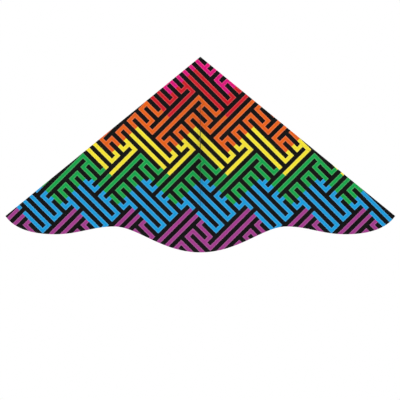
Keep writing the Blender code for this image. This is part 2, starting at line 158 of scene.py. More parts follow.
def new_material(name, roughness, metallic=0.0, specular=0.5, sheen=0.0):
    material = bpy.data.materials.new(name)
    material.use_nodes = True
    shader = material.node_tree.nodes["Principled BSDF"]
    shader.inputs["Roughness"].default_value = roughness
    shader.inputs["Metallic"].default_value = metallic
    shader.inputs["Specular IOR Level"].default_value = specular
    shader.inputs["Sheen Weight"].default_value = sheen
    return material, material.node_tree, shader


def two_tone(tree, shader, tone, shades, height, depth, strength, gloss=None):
    """Mixes a dark and a light shade by tone, and raises the surface by height, which is depth high."""
    dark, light = [colour(code) for code in shades]
    shade = add(tree, "Mix", {0: tone, 6: dark, 7: light}, data_type="RGBA").outputs[2]
    bump = add(tree, "Bump", {"Height": height, "Distance": depth, "Strength": strength})
    feed(tree, shader, {"Base Color": shade, "Normal": bump})
    if gloss:
        feed(tree, shader, {"Roughness": gloss})


# The print is a fret of even lines, 14.7 mm from one edge of a line to the next, turned 45 degrees. The
# whole repeats every 207.5 mm both ways. Folding the plane at 10 lines leaves one cell, which holds five
# strokes and the same five given half a turn.
PRINT_REPEAT = 207.5 * MM
PRINT_ORIGIN = (-88.7 * MM, -0.6 * MM)  # from the nose
FOLD_LINES = 10
HALF_LINE = PRINT_REPEAT / (2 * FOLD_LINES)  # across the repeat, so the line itself is root two wider
PRINT_LINE = HALF_LINE * math.sqrt(2)
INK_SPREAD = 1.0 * MM  # the black ink creeps over the colours by half of this on each side
PALE_EDGE = 2.6 * MM  # the colours lie thinner beside the black lines
STROKES = (  # (from, to) across and (from, to) up, between line centres
    ((0, 0), (0, 8)), ((0, 6), (8, 8)), ((2, 2), (0, 6)), ((2, 6), (4, 4)), ((2, 10), (0, 0)),
)
FIRST_BAND = "E2067D"
BANDS = (  # bands of colour down the sail meet in zigzags, each from (across, down) in half lines
    ((7.5, 3.5), "D41727"), ((8.5, 11.5), "ED6512"), ((7.5, 23.5), "FAE931"),
    ((8.5, 31.5), "0AA84C"), ((10, 41), "0E9FE0"), ((4, 51), "A43A8F"),
)
PRINT_BLACK = "060606"
CLOTH_WHITE = "ECEAE4"
PALE_SHARE = 0.08  # of bare cloth showing through the thin colour


def fret(tree, flat, spread):
    """1 where the print's dark lines run, and 0 between them. Each line is wider by spread."""
    turned = Vector((PRINT_ORIGIN[0] - PRINT_ORIGIN[1], PRINT_ORIGIN[0] + PRINT_ORIGIN[1])) / math.sqrt(2)
    lines = add(tree, "Mapping", {
        "Vector": flat, "Location": (-turned.x / PRINT_LINE, -turned.y / PRINT_LINE, 0),
        "Rotation": (0, 0, math.pi / 4), "Scale": (1 / PRINT_LINE, 1 / PRINT_LINE, 1),
    })
    split = add(tree, "SeparateXYZ", [lines])
    cell = [add(tree, "Math", [split.outputs[axis], FOLD_LINES], operation="PINGPONG") for axis in (0, 1)]
    half_turned = [add(tree, "Math", [FOLD_LINES, place], operation="SUBTRACT") for place in cell]
    width = 1 + spread / PRINT_LINE
    ink = None
    for places in (cell, half_turned):
        for stroke in STROKES:
            spans = [
                add(tree, "Math", [place, (low + high) / 2, (high - low + width) / 2], operation="COMPARE")
                for place, (low, high) in zip(places, stroke)
            ]
            drawn = add(tree, "Math", spans, operation="MULTIPLY")
            ink = add(tree, "Math", [ink, drawn], operation="MAXIMUM") if ink else drawn
    return ink


def printed_colour(tree, flat):
    """The print's colour at flat, a place on the uncut sail measured from the nose."""
    halves = add(tree, "Mapping", {
        "Vector": flat, "Location": (-PRINT_ORIGIN[0] / HALF_LINE, PRINT_ORIGIN[1] / HALF_LINE, 0),
        "Scale": (1 / HALF_LINE, -1 / HALF_LINE, 1),
    })
    split = add(tree, "SeparateXYZ", [halves])
    shade = colour(FIRST_BAND)
    for (across, down), code in BANDS:
        from_start = add(tree, "Math", [split.outputs[0], across], operation="SUBTRACT")
        zigzag = add(tree, "Math", [from_start, FOLD_LINES], operation="PINGPONG")
        level = add(tree, "Math", [split.outputs[1], zigzag], operation="SUBTRACT")
        below = add(tree, "Math", [level, down], operation="GREATER_THAN")
        shade = add(tree, "Mix", {0: below, 6: shade, 7: colour(code)}, data_type="RGBA").outputs[2]
    beside = fret(tree, flat, INK_SPREAD + 2 * PALE_EDGE)
    thin = add(tree, "Math", [beside, PALE_SHARE], operation="MULTIPLY")
    shade = add(tree, "Mix", {0: thin, 6: shade, 7: colour(CLOTH_WHITE)}, data_type="RGBA").outputs[2]
    ink = fret(tree, flat, INK_SPREAD)
    return add(tree, "Mix", {0: ink, 6: shade, 7: colour(PRINT_BLACK)}, data_type="RGBA").outputs[2]


RIPSTOP_SQUARE = 5 * MM
RIPSTOP_THREAD = 0.8 * MM
WEAVE = 1.1 * MM  # real threads lie 0.25 mm apart, which would not show
WEAVE_HEIGHT = 0.22  # of the height of the ripstop threads
WORN_SHARE = 0.009  # of bare cloth on top of those threads


def ripstop(tree, flat):
    """The raised threads of a ripstop weave, every 5 mm both ways, and the plain weave between them."""
    split = add(tree, "SeparateXYZ", [flat])
    lines = []
    for axis in (0, 1):
        squares = add(tree, "Math", [split.outputs[axis], 1 / RIPSTOP_SQUARE], operation="MULTIPLY")
        away = add(tree, "Math", [squares, 0.5], operation="PINGPONG")
        lines.append(add(tree, "MapRange", [away, 0, RIPSTOP_THREAD / RIPSTOP_SQUARE, 1, 0]))
    grid = add(tree, "Math", lines, operation="MAXIMUM")
    weave = add(tree, "TexChecker", {"Vector": flat, "Scale": 1 / WEAVE})
    height = add(tree, "Math", [weave.outputs[1], WEAVE_HEIGHT, grid], operation="MULTIPLY_ADD")
    return grid, height


def printed_ripstop(name, bleached):
    """Printed polyester ripstop: crisp flat ink with little gloss, and the square grid of its weave.

    bleached is how far the colours pale towards the bare cloth, which the reverse shows.
    """
    material, tree, shader = new_material(name, 0.6, specular=0.05)
    flat = add(tree, "UVMap", uv_map="flat").outputs[0]
    ink = printed_colour(tree, flat)
    grid, height = ripstop(tree, flat)
    pale = add(tree, "Mix", {0: bleached, 6: ink, 7: colour(CLOTH_WHITE)}, data_type="RGBA").outputs[2]
    # The raised threads are a little darker, and a little bare cloth shows on top of them.
    cloud = add(tree, "TexNoise", {"Vector": flat, "Scale": 14, "Detail": 3, "Roughness": 0.6})
    density = add(tree, "MapRange", [cloud, *NOISE_SPAN, 0.96, 1.03])
    woven = add(tree, "MapRange", [height, 0, 1 + WEAVE_HEIGHT, 1.02, 0.9])
    tone = add(tree, "Math", [density, woven], operation="MULTIPLY")
    shade = add(tree, "Mix", {0: 1.0, 6: pale, 7: tone.outputs[0]}, data_type="RGBA", blend_type="MULTIPLY")
    worn = add(tree, "Math", [grid, WORN_SHARE], operation="MULTIPLY")
    bare = {0: worn, 6: shade.outputs[2], 7: colour(CLOTH_WHITE)}
    shade = add(tree, "Mix", bare, data_type="RGBA").outputs[2]
    gloss = add(tree, "MapRange", [cloud, *NOISE_SPAN, 0.5, 0.66])
    bump = add(tree, "Bump", {"Height": height, "Distance": 0.12 * MM, "Strength": 0.4})
    feed(tree, shader, {"Base Color": shade, "Roughness": gloss, "Normal": bump})
    return material


def black_ripstop():
    """Dyed black ripstop of the keel and patches: a dull soft black with a raised 5 mm grid."""
    material, tree, shader = new_material("black_ripstop", 0.55, specular=0.3, sheen=0.06)
    flat = add(tree, "UVMap", uv_map="flat").outputs[0]
    height = ripstop(tree, flat)[1]
    cloud = add(tree, "TexNoise", {"Vector": flat, "Scale": 20, "Detail": 3})
    tone = add(tree, "Math", [cloud, 0.3, height], operation="MULTIPLY_ADD")
    two_tone(tree, shader, tone, ("121214", "222226"), height, depth=0.14 * MM, strength=0.6)
    return material


def ribbed_cloth(name, rib, shades, depth):
    """Narrow woven cloth with ribs across it: matt, a fuzzy ridge every rib, painted highlight on ridges,
    painted shade in valleys.
    """
    material, tree, shader = new_material(name, 0.7, specular=0.25, sheen=0.12)
    flat = add(tree, "UVMap", uv_map="flat").outputs[0]
    # A wave texture of scale 1 has a band every tau / 20.
    ribs = add(
        tree, "TexWave", {"Vector": flat, "Scale": math.tau / 20 / rib, "Distortion": 0.5, "Detail": 1},
        bands_direction="Y",
    )
    fuzz = add(tree, "TexNoise", {"Vector": flat, "Scale": 1 / (0.6 * MM), "Detail": 2})
    height = add(tree, "Math", [fuzz, 0.5, ribs.outputs[1]], operation="MULTIPLY_ADD")
    # The colour follows the height: painted shade in the valleys between ribs, painted highlight on the
    # ridges.
    tone = add(tree, "MapRange", [height, 0.1, 1.4, 0, 1])
    two_tone(tree, shader, tone, shades, height, depth, strength=0.8)
    return material


def pultruded_rod():
    """Black glass-fibre rod, drawn through a die: fine streaks along it under a satin resin skin."""
    material, tree, shader = new_material("pultruded_glass_fibre", 0.34)
    around = add(tree, "UVMap", uv_map="flat")
    # A streak is about 0.5 mm wide and 60 mm long.
    drawn = add(tree, "Mapping", {"Vector": around, "Scale": (1 / (0.5 * MM), 1 / (60 * MM), 1)})
    streaks = add(tree, "TexNoise", {"Vector": drawn, "Scale": 1, "Detail": 4, "Roughness": 0.65})
    tone = add(tree, "MapRange", [streaks, *NOISE_SPAN, 0, 1])
    gloss = add(tree, "MapRange", [streaks, *NOISE_SPAN, 0.26, 0.44])
    two_tone(tree, shader, tone, ("0C0C0E", "2B2B30"), streaks, depth=0.03 * MM, strength=0.5, gloss=gloss)
    return material


def mottled(name, shades, roughness, patch, patch_detail, grain, depth, strength, **finish):
    """A moulded or plated finish: colours and gloss vary in patches, under a fine even grain."""
    material, tree, shader = new_material(name, roughness, **finish)
    place = add(tree, "TexCoord").outputs["Object"]
    patches = add(tree, "TexNoise", {"Vector": place, "Scale": 1 / patch, "Detail": patch_detail})
    grained = add(tree, "TexNoise", {"Vector": place, "Scale": 1 / grain, "Detail": 2})
    gloss = add(tree, "MapRange", [patches, *NOISE_SPAN, roughness - 0.08, roughness + 0.1])
    two_tone(tree, shader, patches, shades, grained, depth, strength, gloss)
    return material


def bonded_thread():
    """Black bonded polyester thread: a dull twisted cord, with a painted highlight along the tops of its
    strands.
    """
    material, tree, shader = new_material("bonded_thread", 0.6, specular=0.35)
    place = add(tree, "TexCoord").outputs["Object"]
    twist_and_highlight = add(tree, "TexNoise", {"Vector": place, "Scale": 1 / (0.5 * MM), "Detail": 1})
    # The noise that raises the strands also sets the colour: painted highlight on their tops, painted shade
    # between them.
    two_tone(tree, shader, twist_and_highlight, ("0E0E10", "2C2C30"), twist_and_highlight, depth=0.05 * MM, strength=0.5)
    return material


FACE = printed_ripstop("printed_ripstop_face", 0.0)
REVERSE = printed_ripstop("printed_ripstop_reverse", 0.08)
KEEL_CLOTH = black_ripstop()
# Each pair is a dark and a light shade: the dark is painted shade in the rib valleys, the light painted
# highlight on the ridges.
BLACK_TAPE = ribbed_cloth("black_grosgrain_tape", 1.0 * MM, ("0F0F11", "2A2A2E"), 0.12 * MM)
BLACK_WEBBING = ribbed_cloth("black_webbing", 1.6 * MM, ("0D0D0F", "2C2C30"), 0.25 * MM)
ROD = pultruded_rod()
MOULDED = {
    "roughness": 0.42, "specular": 0.45, "patch": 4 * MM, "patch_detail": 3,
    "depth": 0.04 * MM, "strength": 0.5,
}
# Dipped soft vinyl, near black: a fine matt grain, duller and shinier where it has been handled.
VINYL = mottled("dipped_soft_vinyl", ("121214", "1E1E21"), grain=0.5 * MM, **MOULDED)
# Moulded nylon: the mould's finer grain, and a little more difference between its patches.
NYLON = mottled("moulded_nylon", ("141416", "232327"), grain=0.35 * MM, **MOULDED)
# Pressed brass plated in black nickel: a dark warm mirror, dulled in patches where it was rolled over.
NICKEL = mottled(
    "black_nickel_plate", ("3E3C3A", "6A6764"), roughness=0.3, patch=3 * MM, patch_detail=4,
    grain=0.35 * MM, depth=0.015 * MM, strength=0.4, metallic=1.0,
)
THREAD = bonded_thread()


# --- Places on the sail ---

def trailing_edge():
    """The trailing edge from centre line to wing tip, as arrays of x and drop."""
    out = Vector((1, 0))
    tail, tip = Vector((0, HEIGHT)), Vector((HALF_SPAN, TIP_DROP))
    crest, lobe = Vector((0.310, HEIGHT - 0.0925)), Vector((HALF_SPAN - 0.179, HEIGHT - 0.0645))
    stretches = (
        (tail, tail + 0.138 * out, crest - 0.084 * out, crest),
        (crest, crest + 0.074 * out, lobe - 0.081 * out, lobe),
        (lobe, lobe + 0.118 * out, tip + Vector((-0.018, 0.026)), tip),
    )
    points = [point for stretch in stretches for point in interpolate_bezier(*stretch, 200)]
    return np.array([point.x for point in points]), np.array([point.y for point in points])


TRAILING_X, TRAILING_DROP = trailing_edge()


def trailing_drop(x):
    return float(np.interp(abs(x), TRAILING_X, TRAILING_DROP))


def leading_drop(x):
    return abs(x) * TIP_DROP / HALF_SPAN


SPREADER_DROP = NOSE_Z - sum(corner.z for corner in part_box("spreader_rod")) / 2


def relief(x, drop):
    """How far the sail stands behind its wing's plane: a belly below the spreader, fluttering at the hem."""
    start = BAND_HALF + 3 * MM
    end = drop * HALF_SPAN / TIP_DROP - FLAP_END / -EDGE_IN.x
    if not start < x < end:
        return 0.0
    arch = math.sin(math.pi * (x - start) / (end - start))
    below = max(drop - SPREADER_DROP, 0) / (HEIGHT - SPREADER_DROP)
    fade = math.exp(-(trailing_drop(x) - drop) / FLUTTER_REACH)
    flutter = FLUTTER * math.sin(math.tau * x / FLUTTER_WAVE) * fade * arch
    return BELLY * arch**2 * below**2 + flutter * min(below * 3, 1)


def on_wing(side, point):
    return WING[side] @ Vector(point)


def on_sail(x, drop, behind=0.0):
    """A place on the hung sail; x is negative on the viewer's left."""
    side, away = (-1 if x < 0 else 1), abs(x)
    if away <= BAND_HALF:
        return Vector((x, SAIL_Y + behind, NOSE_Z - drop))
    return on_wing(side, (side * (away - BAND_HALF), relief(away, drop) + behind, NOSE_Z - drop))


def on_edge(side, along, inward, behind):
    """A place by its distance along and in from the leading edge's line."""
    flat = EDGE_WAY * along + EDGE_IN * inward
    return on_wing(side, (side * (flat.x - BAND_HALF), behind, NOSE_Z + flat.y))


def behind_of(side):
    return WING[side].to_3x3() @ Vector((0, 1, 0))


# --- Making pieces ---

def select_only(item):
    bpy.ops.object.select_all(action="DESELECT")
    item.select_set(True)
    bpy.context.view_layer.objects.active = item


def name_new(name):
    """Names the primitive that was just added, and takes its place into its mesh. It alone is selected."""
    bpy.ops.object.transform_apply(location=True, rotation=True, scale=True)
    item = bpy.context.object
    item.name = item.data.name = name
    return item


def put(data, place=(0, 0, 0)):
    """Stands a mesh, lamp or camera in the scene, under its own name."""
    item = bpy.data.objects.new(data.name, data)
    bpy.context.scene.collection.objects.link(item)
    item.location = place
    return item


def modify(item, kind, **settings):
    """Adds a modifier with its settings, and applies it."""
    modifier = item.modifiers.new(kind.lower(), kind)
    for name, value in settings.items():
        setattr(modifier, name, value)
    select_only(item)
    bpy.ops.object.modifier_apply(modifier=modifier.name)


def smooth(item, angle=40):
    select_only(item)
    bpy.ops.object.shade_smooth_by_angle(angle=math.radians(angle))


def round_edges(item, width, segments=2, angle=40):
    limit = {"limit_method": "ANGLE", "angle_limit": math.radians(angle)}
    modify(item, "BEVEL", width=width, segments=segments, **limit)


def wear(item, *materials):
    item.data.materials.clear()
    for material in materials:
        item.data.materials.append(material)


def settle(item, body, slot, *nodes):
    """Rides a finished piece on its body and lets it stand for its CAD nodes."""
    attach(item, body)
    if nodes:
        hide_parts(*nodes)


def cloth(name, columns, rows, place, flat, thickness, facing, materials):
    """A sheet of cloth: place and flat give each (column, row) point hung and uncut.

    facing is the way that the face looks near the last column; materials are face and reverse.
    """
    bpy.ops.mesh.primitive_grid_add(x_subdivisions=columns, y_subdivisions=rows, size=1)
    item = name_new(name)
    mesh = item.data
    spots = [(round((v.co.x + 0.5) * columns), round((v.co.y + 0.5) * rows)) for v in mesh.vertices]
    mesh.vertices.foreach_set("co", [value for spot in spots for value in place(*spot)])
    uncut = [flat(*spot) for spot in spots]
    mesh.uv_layers[0].name = "flat"
    mesh.uv_layers[0].data.foreach_set(
        "uv", [value for loop in mesh.loops for value in uncut[loop.vertex_index][:2]]
    )
    mesh.update()
    last = max(mesh.polygons, key=lambda face: sum(spots[v][0] for v in face.vertices) * face.area)
    if last.normal.dot(facing) < 0:
        mesh.flip_normals()
    wear(item, *materials)
    # Where rows run together at a corner, their points become one.
    bpy.ops.object.mode_set(mode="EDIT")
    bpy.ops.mesh.select_all(action="SELECT")
    bpy.ops.mesh.remove_doubles(threshold=1e-6)
    bpy.ops.object.mode_set(mode="OBJECT")
    sides = {"use_even_offset": True, "material_offset": len(materials) - 1}
    modify(item, "SOLIDIFY", thickness=thickness, offset=0, **sides)
    smooth(item, 50)
    return item


def wrap_round(item, start, way):
    """Gives a round piece a UV map in metres: round it, and along it."""
    side = way.orthogonal().normalized()
    across = way.cross(side)
    layer = item.data.uv_layers[0]
    layer.name = "flat"
    for face in item.data.polygons:
        middle = face.center - start
        facing = math.atan2(middle.dot(across), middle.dot(side))
        for loop in face.loop_indices:
            place = item.data.vertices[item.data.loops[loop].vertex_index].co - start
            angle = math.atan2(place.dot(across), place.dot(side))
            angle = facing + (angle - facing + math.pi) % math.tau - math.pi
            radius = math.hypot(place.dot(across), place.dot(side))
            layer.data[loop].uv = (angle * radius, place.dot(way))


def add_cylinder(name, start, end, radius, vertices=32):
    way = end - start
    bpy.ops.mesh.primitive_cylinder_add(
        vertices=vertices, radius=radius, depth=way.length, location=(start + end) / 2,
        rotation=way.to_track_quat("Z", "Y").to_euler(),
    )
    return name_new(name)


def round_bar(name, start, end, radius, material, chamfer=0.4 * MM):
    item = add_cylinder(name, start, end, radius)
    round_edges(item, chamfer)
    wrap_round(item, start, (end - start).normalized())
    wear(item, material)
    smooth(item)
    return item


def axis_ends(node):
    """Middles of the two ends of a straight CAD rod or cap, and its radius."""
    points = points_of(node)
    middle = points.mean(axis=0)
    spread = points - middle
    way = np.linalg.svd(spread, full_matrices=False)[2][0]
    along = spread @ way
    radius = np.linalg.norm(spread - np.outer(along, way), axis=1).max()
    ends = (Vector(middle + way * along.min()), Vector(middle + way * along.max()))
    return (*sorted(ends, key=lambda point: -point.z), float(radius))


def run_lengths(points):
    """How far along a path each of its points is."""
    return np.cumsum([0] + [math.dist(a, b) for a, b in zip(points, points[1:])])


def evenly(path, pitch):
    """Points pitch apart along a path, each with the path's direction there."""
    path = [Vector(point) for point in path]
    lengths = run_lengths(path)
    count = max(int(lengths[-1] / pitch), 1)
    spots = (np.arange(count) + 0.5) * lengths[-1] / count
    columns = [np.interp(spots, lengths, [point[axis] for point in path]) for axis in range(3)]
    found = []
    for index, spot in enumerate(spots):
        leg = min(int(np.searchsorted(lengths, spot, side="right")) - 1, len(path) - 2)
        way = (path[leg + 1] - path[leg]).normalized()
        found.append((Vector([column[index] for column in columns]), way))
    return found


def stitch_shape():
    """One stitch of thread, lying along Z and tapering where it dives into the cloth."""
    bpy.ops.mesh.primitive_uv_sphere_add(segments=6, ring_count=4, radius=1)
    item = bpy.context.object
    shape = np.array([vert.co for vert in item.data.vertices])
    faces = [list(face.vertices) for face in item.data.polygons]
    bpy.data.objects.remove(item)
    return shape * (THREAD_RADIUS, THREAD_RADIUS, STITCH / 2), faces


STITCH_POINTS, STITCH_FACES = stitch_shape()
ON_FACE = -CLOTH / 2 - THREAD_LIFT  # how far behind the sail a thread lies on its face


def on_top(layer, thickness):
    """How far behind the sail a thread lies on the back of a layer, or out from the keel's middle."""
    return layer + thickness / 2 + THREAD_LIFT


def stitching(name, body, seams, pitch=STITCH_PITCH):
    """Rows of stitches as one piece. Each seam is a path and the normal of the cloth that it lies on."""
    points, faces = [], []
    for path, normal in seams:
        for place, way in evenly(path, pitch):
            side = way.cross(normal).normalized()
            turn = np.array((side, normal.normalized(), way)).T
            start = len(points) * len(STITCH_POINTS)
            points.append(STITCH_POINTS @ turn.T + np.array(place))
            faces += [[start + corner for corner in face] for face in STITCH_FACES]
    mesh = bpy.data.meshes.new(name)
    mesh.from_pydata(np.concatenate(points).tolist(), [], faces)
    item = put(mesh)
    wear(item, THREAD)
    mesh.shade_smooth()
    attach(item, body)


def bar_tack(count):
    """Even offsets either side of a middle for the stitches of a bar tack."""
    return [(step - (count - 1) / 2) * TACK_SPACING for step in range(count)]


# --- Sail ---

def sail_columns():
    """Distances from the centre line of the sail's columns of points, close together at the fold."""
    near = [0, FOLD_START / 2, FOLD_START, BAND_HALF, FOLD_END, 13 * MM]
    count = 136
    return near + [near[-1] + (HALF_SPAN - near[-1]) * step / count for step in range(1, count + 1)]


COLUMNS = sail_columns()
ROWS = 104


def sail(side):
    def flat(column, row):
        x = COLUMNS[column]
        low, high = trailing_drop(x), leading_drop(x)
        return side * x, -(low + (high - low) * row / ROWS)

    def place(column, row):
        x, up = flat(column, row)
        return on_sail(x if column else 0.0, -up)

    name = "printed_sail_" + LABEL[side]
    item = cloth(name, len(COLUMNS) - 1, ROWS, place, flat, CLOTH, -behind_of(side), (FACE, REVERSE))
    bend_with_wing(item, side, "sail_" + LABEL[side], "spine_band")
    depths = TRAILING_DROP - TRAILING_X * TIP_DROP / HALF_SPAN
    area = float(((depths[1:] + depths[:-1]) / 2 * np.diff(TRAILING_X)).sum())
    return item, area


def bend_with_wing(item, side, *nodes):
    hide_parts(*nodes)
    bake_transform(item)


def hem(side):
    """The trailing edge turned over once to the back, so that it shows the printed face again."""
    label, back = LABEL[side], behind_of(side)
    stop_short = 15 * MM  # of the tip, which its pocket covers
    ruled = 0.5 * MM  # the hem's slope is taken over this far each way
    profile = [
        (0.05 * MM, 0.0), (-0.12 * MM, 0.12 * MM), (-0.12 * MM, 0.3 * MM), (0.1 * MM, HEM_LAYER),
        (HEM_WIDTH / 2, HEM_LAYER + 0.03 * MM), (HEM_WIDTH - 0.4 * MM, HEM_LAYER), (HEM_WIDTH, 0.2 * MM),
    ]
    turned = run_lengths(profile)
    last = next(i for i, x in enumerate(COLUMNS) if x > HALF_SPAN - stop_short)

    def shape(column, inset):
        x = COLUMNS[column]
        ahead, before = x + ruled, max(x - ruled, 0)
        slope = Vector((ahead - before, trailing_drop(ahead) - trailing_drop(before))).normalized()
        return x + slope.y * inset, trailing_drop(x) - slope.x * inset

    def place(column, row):
        inset, behind = profile[row]
        x, drop = shape(column, inset)
        return on_sail(side * x, drop, behind)

    def flat(column, row):
        x, drop = shape(column, -turned[row])
        return side * x, -drop

    name = "trailing_hem_fold_" + label
    item = cloth(name, last, len(profile) - 1, place, flat, CLOTH, back, (FACE, REVERSE))
    bend_with_wing(item, side, "trailing_hem_" + label)
    line = [shape(column, HEM_SEAM) for column in range(5, last)]
    seams = [
        ([on_sail(side * x, drop, behind) for x, drop in line], back)
        for behind in (ON_FACE, on_top(HEM_LAYER, CLOTH))
    ]
    stitching("hem_stitches_" + label, label + "_wing", seams)
    return item


# --- Leading edges ---

def along_edge(node):
    """First and last place of a CAD node along its leading edge, and the same inwards and behind."""
    side = -1 if "left" in node else 1
    local = [WING[side].inverted() @ Vector(point) for point in points_of(node)]
    flat = [Vector((side * p.x + BAND_HALF, p.z - NOSE_Z)) for p in local]
    measures = [[p.dot(EDGE_WAY) for p in flat], [p.dot(EDGE_IN) for p in flat], [p.y for p in local]]
    return [(min(values), max(values)) for values in measures]


ROD_RADIUS = axis_ends("leading_rod_right")[2]
ROD_INSET, ROD_BEHIND = [sum(extent) / 2 for extent in along_edge("leading_rod_right")[1:]]
SPREADER_ALONG = SPREADER_DROP / -EDGE_WAY.y
WINDOW_START, WINDOW_END = SPREADER_ALONG - WINDOW / 2, SPREADER_ALONG + WINDOW / 2


def loop_profile(outer, back, layer):
    """Section of a pocket folded over a rod: from the fold round the back to the stitched flap.

    outer is how far in from the leading edge the fold lies, and back how far behind the cloth bulges.
    """
    reach = ROD_INSET - outer
    wrap, steps = math.radians(128), 9
    lip = 0.5 * MM
    round_part = []
    for step in range(steps + 1):
        angle = math.pi - wrap * step / steps
        across, behind = reach * math.cos(angle), (back - ROD_BEHIND) * math.sin(angle)
        round_part.append((ROD_INSET + across, ROD_BEHIND + behind))
    x, y = round_part[-1]
    slope = [
        (x + (FLAP_FOOT - x) * share, y + (layer - y) * (1 - (1 - share) ** 1.6))
        for share in (0.33, 0.66, 1)
    ]
    return [
        (outer, 0.02 * MM), (outer, ROD_BEHIND * 0.5), *round_part, *slope,
        ((FLAP_FOOT + FLAP_END) / 2, layer), (FLAP_END - lip, layer), (FLAP_END, layer - CLOTH),
    ]


def rumple(along, behind, amount):
    """Slight unevenness of cloth lying loose over a rod."""
    lift = min(max(behind / ROD_BEHIND, 0), 1)
    return amount * lift * noise.noise(Vector((along * 45, behind * 300, 2.5)))


def rows_between(start, end, count, shut=False):
    """Even rows along a pocket, and close ones where its end is pressed shut."""
    if not shut:
        return [start + (end - start) * row / count for row in range(count + 1)]
    way = 1 if end > start else -1
    pressed = [end - way * (PRESS_START - step * 0.4 * MM) for step in range(8)]
    return rows_between(start, pressed[0], count) + pressed[1:] + [end - way * END_SEAM, end]


def press(behind, layer, from_end):
    """How far behind the sail a pocket's cloth lies, given its distance from the shut end."""
    share = min(max((from_end - PRESS_FLAT) / (PRESS_START - PRESS_FLAT), 0), 1)
    height = max(behind - layer, 0)
    return min(behind, layer) + height * math.sin(math.pi / 2 * share)


def pocket(name, rows, profile, at, thickness, facing, materials, loose=0.0, shut=None, uncut=None):
    """Cloth folded over a rod, through rows of places along it.

    at gives a place by its distance along, across and behind; loose is how unevenly the cloth lies, shut
    how far behind the sail its last row is pressed, and uncut the flat place of cloth that keeps a print.
    """
    turned = run_lengths(profile)

    def place(column, row):
        across, behind = profile[column]
        behind += rumple(rows[row], behind, loose)
        if shut:
            behind = press(behind, shut, abs(rows[-1] - rows[row]))
        return at(rows[row], across, behind)

    def flat(column, row):
        return uncut(turned[column], rows[row]) if uncut else (turned[column], rows[row])

    item = cloth(name, len(profile) - 1, len(rows) - 1, place, flat, thickness, facing, materials)
    if shut:
        round_edges(item, 0.15 * MM)
        smooth(item, 50)
    return item


def edge_block(name, side, along, inward, behind, radius):
    """A rounded block given by its extents along, in from and behind the leading edge."""
    middle = [sum(extent) / 2 for extent in (along, inward, behind)]
    back = behind_of(side)
    way = (on_edge(side, 1, 0, 0) - on_edge(side, 0, 0, 0)).normalized()
    turn = Matrix((way, back.cross(way), back)).transposed()
    size = [high - low for low, high in (along, inward, behind)]
    bpy.ops.mesh.primitive_cube_add(
        size=1, location=on_edge(side, *middle), rotation=turn.to_euler(), scale=size
    )
    item = name_new(name)
    wear(item, NYLON)
    round_edges(item, radius, 3)
    return item


def cut(item, other, operation="DIFFERENCE"):
    """Applies a Boolean with another mesh, which is used up."""
    modify(item, "BOOLEAN", operation=operation, object=other)
    bpy.data.objects.remove(other)


def leading_sleeve(side):
    """The sail folded back over its rod, with a window where the spreader's clip comes through."""
    label = LABEL[side]
    start, end = along_edge("leading_sleeve_" + label)[0]

    def uncut(turned, along):
        spot = EDGE_WAY * along - EDGE_IN * turned
        return side * spot.x, spot.y

    item = pocket(
        "folded_sleeve_" + label, rows_between(start, end, 150),
        loop_profile(outer=0.25 * MM, back=6.6 * MM, layer=SLEEVE_LAYER),
        partial(on_edge, side), CLOTH, behind_of(side), (FACE, REVERSE), loose=0.6 * MM, uncut=uncut,
    )
    inward, behind = (-9 * MM, FLAP_FOOT + 0.6 * MM), (0.14 * MM, 14 * MM)
    cut(item, edge_block("window", side, (WINDOW_START, WINDOW_END), inward, behind, 3 * MM))
    smooth(item, 50)
    settle(item, label + "_wing", "sail", "leading_sleeve_" + label)


def tip_pocket(side):
    """Webbing folded over the cap at the wing tip, and pressed shut past it."""
    label = LABEL[side]
    mouth, shut = along_edge("wingtip_pocket_" + label)[0]
    item = pocket(
        "webbing_tip_pocket_" + label, rows_between(mouth, shut, 12, True),
        loop_profile(outer=0.6 * MM, back=7.0 * MM, layer=TIP_LAYER),
        partial(on_edge, side), WEBBING, behind_of(side), (BLACK_WEBBING,), shut=TIP_LAYER,
    )
    settle(item, label + "_wing", "webbing", "wingtip_pocket_" + label)


def edge_stitches(side):
    label = LABEL[side]
    start, end = along_edge("leading_sleeve_" + label)[0]
    mouth, shut = along_edge("wingtip_pocket_" + label)[0]
    on_cloth, on_webbing = on_top(SLEEVE_LAYER, CLOTH), on_top(TIP_LAYER, WEBBING)

    def seam(first, last, behind):
        return [on_edge(side, *first, behind), on_edge(side, *last, behind)], behind_of(side)

    flap = ((start + 2 * MM, FLAP_SEAM), (end - 1 * MM, FLAP_SEAM))
    across = ((shut - END_SEAM, 1.5 * MM), (shut - END_SEAM, 15 * MM))
    seams = [seam(*flap, ON_FACE), seam(*flap, on_cloth), seam(*across, on_webbing)]
    for inward in (12.6 * MM, 15.0 * MM):
        seams.append(seam((mouth + 1.5 * MM, inward), (shut - 1.5 * MM, inward), on_webbing))
    tacks = ((start, on_cloth), (WINDOW_START - TACK, on_cloth), (WINDOW_END, on_cloth), (mouth, on_webbing))
    for along, behind in tacks:
        first = along + (TACK - STITCH) / 2
        for offset in bar_tack(7):
            inward = FLAP_SEAM + offset
            seams.append(seam((first, inward), (first + STITCH, inward), behind))
    stitching("edge_stitches_" + label, label + "_wing", seams)


